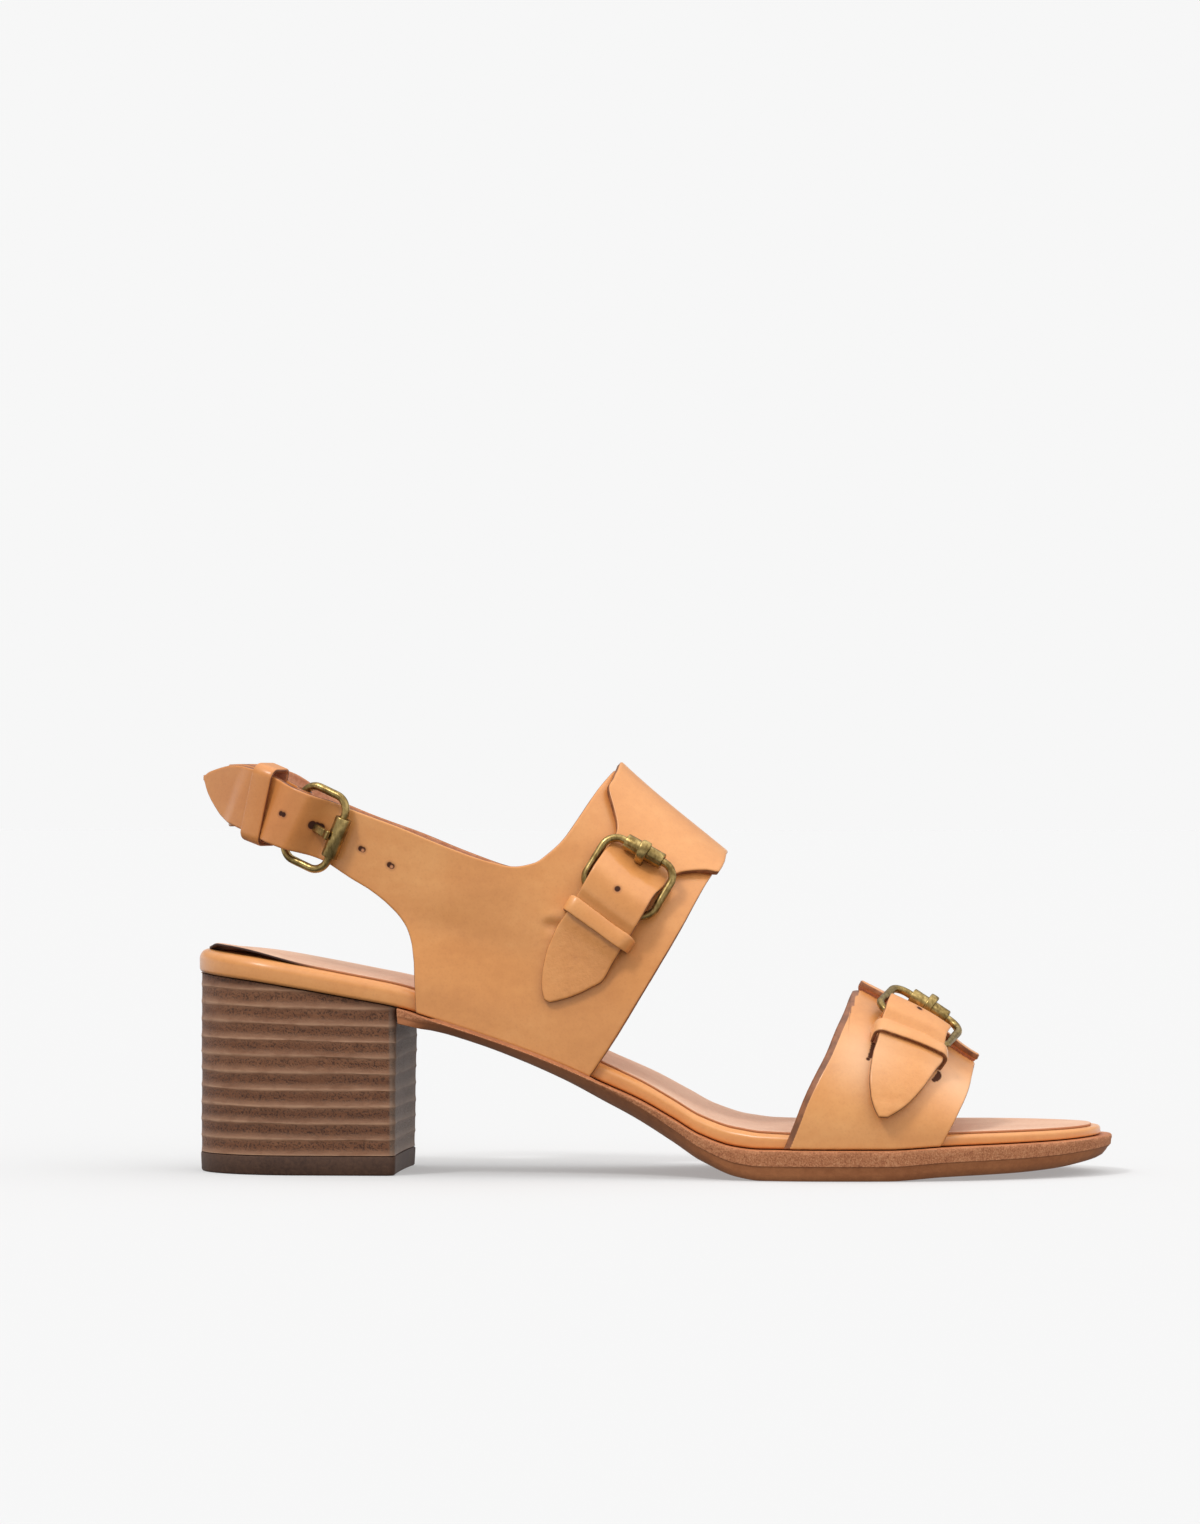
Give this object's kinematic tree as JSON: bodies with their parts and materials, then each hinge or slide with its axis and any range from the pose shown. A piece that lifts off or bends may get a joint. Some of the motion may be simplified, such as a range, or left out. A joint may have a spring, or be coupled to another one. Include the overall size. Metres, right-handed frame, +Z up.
{
  "type": "buckle sandal",
  "caption": "Heeled leather sandal with a buckled instep strap, a buckled toe strap and a buckled heel sling on a stacked block heel.",
  "frame": {"origin": "on the floor, under the middle of the sandal's bounding box", "axes": "+X towards the toe, +Y towards the inner side of the foot, +Z up from the floor"},
  "size_m": [0.2448, 0.0868, 0.11],
  "materials": {
    "tan_leather": "smooth tan leather with scuffs and a dull sheen",
    "sock_leather": "matt pale pink-beige lining leather",
    "sole_leather": "brown sole leather, rough along the upper half of its edge",
    "stacked_leather": "dark brown stacked leather with a fine raised line between the lifts",
    "top_lift": "dark brown matt rubber",
    "brass": "antique brass, rubbed bright on its edges"
  },
  "bodies": {
    "root": {"top_lift": "top_lift", "heel_stack": "stacked_leather", "outsole": "sole_leather", "midsole": "tan_leather", "sock_lining": "sock_leather", "quarter_lateral": "tan_leather", "quarter_medial": "tan_leather", "toe_strap_lateral": "tan_leather", "toe_strap_medial": "tan_leather", "instep_buckle_frame": "brass", "instep_buckle_roller": "brass", "instep_buckle_prong": "brass", "instep_chape": "tan_leather", "instep_keeper": "tan_leather", "toe_buckle_frame": "brass", "toe_buckle_roller": "brass", "toe_buckle_prong": "brass", "toe_chape": "tan_leather", "toe_keeper": "tan_leather", "sling_buckle_frame": "brass", "sling_buckle_roller": "brass", "sling_buckle_prong": "brass", "sling_chape": "tan_leather", "sling_keeper": "tan_leather"}
  },
  "joints": []
}
